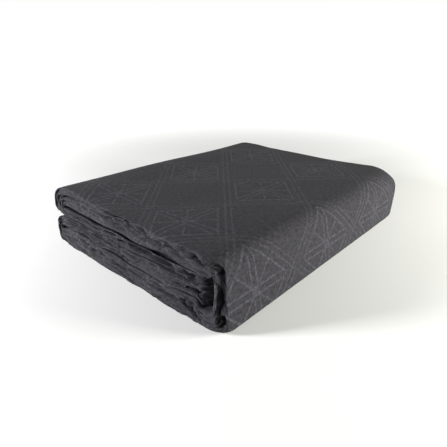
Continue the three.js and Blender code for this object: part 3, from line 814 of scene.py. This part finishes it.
def addNode(tree, kind, settings, inputs, output=0):
    # one node with its settings, each input linked from a socket or given a value; one of its outputs
    node = tree.nodes.new(kind)
    for name, value in settings.items():
        setattr(node, name, value)
    for key, value in inputs.items():
        if isinstance(value, bpy.types.NodeSocket):
            tree.links.new(value, node.inputs[key])
        else:
            node.inputs[key].default_value = value
    return node.outputs[output]


# Trellis of a common geometric kind, charted from its own sizes in mm
trellis = {
    "pitchX": 149.0, "pitchY": 154.0,
    "starX": -79.3, "starY": -169.9,    # middle of one star cell
    "pairOff": 3.9,             # two lines either side of each trellis line
    "frameIn": 13.5,            # frame of a star cell, measured in from the trellis line
    "armOff": 4.7,              # two lines either side of each arm
    "lineWidth": 2.6,           # the woven line
    "softness": 0.9,
}


def trellisChart(tree, u, v):
    # rows of a small sum: a name, what is done, and what it is done to
    t = trellis
    across = t["pitchX"] * t["pitchY"] / math.hypot(t["pitchX"], t["pitchY"])
    inside, outside = t["lineWidth"] / 2 + t["softness"], t["lineWidth"] / 2
    rows = [
        ("a", "MULTIPLY_ADD", "u", 1 / t["pitchX"], -t["starX"] / t["pitchX"]),
        ("b", "MULTIPLY_ADD", "v", 1 / t["pitchY"], -t["starY"] / t["pitchY"]),
        ("d1", "ADD", "a", "b"), ("d2", "SUBTRACT", "a", "b"),
        ("i1", "ROUND", "d1"), ("i2", "ROUND", "d2"),
        ("e1", "SUBTRACT", "d1", "i1"), ("e2", "SUBTRACT", "d2", "i2"),
        ("cell", "ADD", "i1", "i2"), ("odd", "PINGPONG", "cell", 1.0), ("star", "SUBTRACT", 1.0, "odd"),
        ("s1", "ABSOLUTE", "e1"), ("s2", "ABSOLUTE", "e2"),
        ("m1", "MULTIPLY_ADD", "s1", -across, across / 2), ("m2", "MULTIPLY_ADD", "s2", -across, across / 2),
        ("m", "MINIMUM", "m1", "m2"),
        ("pair1", "SUBTRACT", "m1", t["pairOff"]), ("pair2", "SUBTRACT", "m2", t["pairOff"]),
        ("p1", "ABSOLUTE", "pair1"), ("p2", "ABSOLUTE", "pair2"), ("pair", "MINIMUM", "p1", "p2"),
        ("frame0", "SUBTRACT", "m", t["frameIn"]), ("frame", "ABSOLUTE", "frame0"),
        ("q1", "MULTIPLY", "s1", across), ("q2", "MULTIPLY", "s2", across), ("spoke", "MINIMUM", "q1", "q2"),
        ("ax", "ADD", "e1", "e2"), ("ay", "SUBTRACT", "e1", "e2"),
        ("bx", "ABSOLUTE", "ax"), ("by", "ABSOLUTE", "ay"),
        ("cx", "MULTIPLY_ADD", "bx", t["pitchX"] / 2, -t["armOff"]),
        ("cy", "MULTIPLY_ADD", "by", t["pitchY"] / 2, -t["armOff"]),
        ("dx", "ABSOLUTE", "cx"), ("dy", "ABSOLUTE", "cy"), ("arm", "MINIMUM", "dx", "dy"),
        ("within", "GREATER_THAN", "frame0", 0.0), ("inStar", "MULTIPLY", "within", "star"),
        ("figure", "MINIMUM", "spoke", "arm"),
    ]
    made = {"u": u, "v": v}
    for name, operation, *terms in rows:
        terms = {k: made.get(term, term) for k, term in enumerate(terms)}
        made[name] = addNode(tree, "ShaderNodeMath", {"operation": operation}, terms)
    lines = {}
    for name, strength in (("pair", 0.6), ("frame", 1.0), ("figure", 0.9)):
        lines[name] = addNode(tree, "ShaderNodeMapRange", {"interpolation_type": "SMOOTHSTEP"},
                              {"Value": made[name], "From Min": inside, "From Max": outside - t["softness"],
                               "To Min": 0.0, "To Max": strength})
    framed = addNode(tree, "ShaderNodeMath", {"operation": "MULTIPLY"}, {0: lines["frame"], 1: made["star"]})
    starred = addNode(tree, "ShaderNodeMath", {"operation": "MULTIPLY"},
                      {0: lines["figure"], 1: made["inStar"]})
    both = addNode(tree, "ShaderNodeMath", {"operation": "MAXIMUM"}, {0: framed, 1: starred})
    return addNode(tree, "ShaderNodeMath", {"operation": "MAXIMUM"}, {0: both, 1: lines["pair"]})


# Charcoal cotton jacquard: a dry matt face with a grainy weave, and a paler figure of the same yarn
jacquard = {
    "ground": "#2e2d31",
    "figure": "#3e3d43",
    "slubLength": 7.0,          # thicker places of the yarn, mm
    "slubWidth": 2.0,           # real yarn is about 0.4 mm, drawn coarser so that it shows
    "weaveRange": (0.6, 1.4),   # what the two noises of the weave add up to
    "grain": 0.46,
    "patchiest": 0.45,          # how faint a line gets where its yarn is thin
    "patchRange": (0.7, 1.15),  # thin and thick yarn, in that sum
    "relief": 0.14,             # height of the weave, mm
    "finish": {"Roughness": 0.85, "Specular IOR Level": 0.06, "Sheen Weight": 0.015, "Sheen Roughness": 0.5},
}


def makeJacquard():
    # two crossed noises make the weave; it tones the ground, breaks up the charted figure and raises both
    mat = bpy.data.materials.new("charcoalJacquard")
    mat.use_nodes = True
    tree = mat.node_tree
    shader = tree.nodes["Principled BSDF"]
    cloth = addNode(tree, "ShaderNodeUVMap", {"uv_map": "cloth"}, {})
    inMm = addNode(tree, "ShaderNodeVectorMath", {"operation": "SCALE"}, {0: cloth, "Scale": 1 / mm})
    split = tree.nodes.new("ShaderNodeSeparateXYZ")
    tree.links.new(inMm, split.inputs[0])
    chart = trellisChart(tree, split.outputs["X"], split.outputs["Y"])
    yarns = []
    for lengthways in (True, False):
        size = (jacquard["slubLength"], jacquard["slubWidth"])
        size = size if lengthways else size[::-1]
        stretched = addNode(tree, "ShaderNodeVectorMath", {"operation": "MULTIPLY"},
                            {0: inMm, 1: (1 / size[0], 1 / size[1], 1.0)})
        yarns.append(addNode(tree, "ShaderNodeTexNoise", {},
                             {"Vector": stretched, "Scale": 1.0, "Detail": 1.0}))
    weave = addNode(tree, "ShaderNodeMath", {"operation": "ADD"}, {0: yarns[0], 1: yarns[1]})
    thinYarn, thickYarn = jacquard["patchRange"]
    patchy = addNode(tree, "ShaderNodeMapRange", {},
                     {"Value": weave, "From Min": thinYarn, "From Max": thickYarn,
                      "To Min": jacquard["patchiest"], "To Max": 1.0})
    figure = addNode(tree, "ShaderNodeMath", {"operation": "MULTIPLY"}, {0: chart, 1: patchy})
    weaveLow, weaveHigh = jacquard["weaveRange"]
    tone = addNode(tree, "ShaderNodeMapRange", {},
                   {"Value": weave, "From Min": weaveLow, "From Max": weaveHigh,
                    "To Min": 1 - jacquard["grain"], "To Max": 1 + jacquard["grain"]})
    mixed = tree.nodes.new("ShaderNodeMix")
    mixed.data_type = "RGBA"
    tree.links.new(figure, mixed.inputs["Factor"])
    mixed.inputs[6].default_value = hexColour(jacquard["ground"])
    mixed.inputs[7].default_value = hexColour(jacquard["figure"])
    coloured = addNode(tree, "ShaderNodeVectorMath", {"operation": "SCALE"},
                       {0: mixed.outputs[2], "Scale": tone})
    tree.links.new(coloured, shader.inputs["Base Color"])
    height = addNode(tree, "ShaderNodeMath", {"operation": "ADD"}, {0: weave, 1: figure})
    bump = addNode(tree, "ShaderNodeBump", {},
                   {"Height": height, "Distance": jacquard["relief"] * mm, "Strength": 1.0})
    tree.links.new(bump, shader.inputs["Normal"])
    for name, value in jacquard["finish"].items():
        shader.inputs[name].default_value = value
    return mat


comforter.data.materials.append(makeJacquard())
print("cloth material set")

# Plain pale paper that glows with painted light away from the pack, under soft studio light: bright at the
# horizon, dim overhead, a low box at the right and a fill at the left
studio = {
    "paper": "#d6d6d6",
    "litFrom": 0.45,            # m from the middle, where the paper's painted glow begins to grow, as a lit backdrop looks
    "litFully": 1.5,
    "floorGlow": 0.12,
    "horizon": 1.0,
    "zenith": 0.09,
    "brightBelow": 0.1, "dimAbove": 0.6,        # height over the horizon, as its sine
    "floorRadius": 14.0,
    "aim": (0, 0, 0.04),        # what the lamps point at
    "lamps": [
        {"name": "rightBox", "from": (1.15, 0.62, 0.3), "size": 0.55, "watts": 40.0, "tint": "#fffff5"},
        {"name": "leftFill", "from": (-0.8, -1.27, 0.45), "size": 0.3, "watts": 52.0, "tint": "#ffffff"},
    ],
}


def makePaper():
    # matt paper with painted light: its emission grows the further it lies from the middle
    paper = bpy.data.materials.new("palePaper")
    paper.use_nodes = True
    tree = paper.node_tree
    shader = tree.nodes["Principled BSDF"]
    shader.inputs["Base Color"].default_value = hexColour(studio["paper"])
    shader.inputs["Roughness"].default_value = 0.95
    shader.inputs["Specular IOR Level"].default_value = 0.1
    shader.inputs["Emission Color"].default_value = (1, 1, 1, 1)
    place = tree.nodes.new("ShaderNodeTexCoord").outputs["Object"]
    away = addNode(tree, "ShaderNodeVectorMath", {"operation": "LENGTH"}, {0: place}, "Value")
    glow = addNode(tree, "ShaderNodeMapRange", {"interpolation_type": "SMOOTHSTEP"},
                   {"Value": away, "From Min": studio["litFrom"], "From Max": studio["litFully"],
                    "To Min": studio["floorGlow"], "To Max": studio["horizon"]})
    # painted light: emission, not a lamp, makes the paper look lit, faint near the pack and full far off
    tree.links.new(glow, shader.inputs["Emission Strength"])
    return paper


def makeSurround():
    # light by height above the horizon
    world = bpy.data.worlds.new("studio")
    world.use_nodes = True
    tree = world.node_tree
    split = tree.nodes.new("ShaderNodeSeparateXYZ")
    tree.links.new(tree.nodes.new("ShaderNodeTexCoord").outputs["Generated"], split.inputs[0])
    light = addNode(tree, "ShaderNodeMapRange", {"interpolation_type": "SMOOTHSTEP"},
                    {"Value": split.outputs["Z"],
                     "From Min": studio["brightBelow"], "From Max": studio["dimAbove"],
                     "To Min": studio["horizon"], "To Max": studio["zenith"]})
    tree.nodes["Background"].inputs["Color"].default_value = (1, 1, 1, 1)
    tree.links.new(light, tree.nodes["Background"].inputs["Strength"])
    bpy.context.scene.world = world


def makeStudio():
    # floor, surround, and one area light for each row, turned to the pack
    bpy.ops.mesh.primitive_circle_add(vertices=96, radius=studio["floorRadius"], fill_type="NGON")
    floor = bpy.context.object
    floor.name = "studioFloor"
    floor.data.materials.append(makePaper())
    floor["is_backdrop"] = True
    makeSurround()
    bpy.context.scene.view_settings.view_transform = "Standard"
    for row in studio["lamps"]:
        light = bpy.data.lights.new(row["name"], "AREA")
        light.size, light.energy = row["size"], row["watts"]
        light.color = hexColour(row["tint"])[:3]
        lamp = bpy.data.objects.new(row["name"], light)
        bpy.context.collection.objects.link(lamp)
        lamp.location = row["from"]
        lamp.rotation_euler = (Vector(studio["aim"]) - lamp.location).to_track_quat("-Z", "Y").to_euler()


makeStudio()
print("studio set")

newLow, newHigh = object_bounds()
print("visual box", [round(v, 4) for v in (*newLow, *newHigh)])
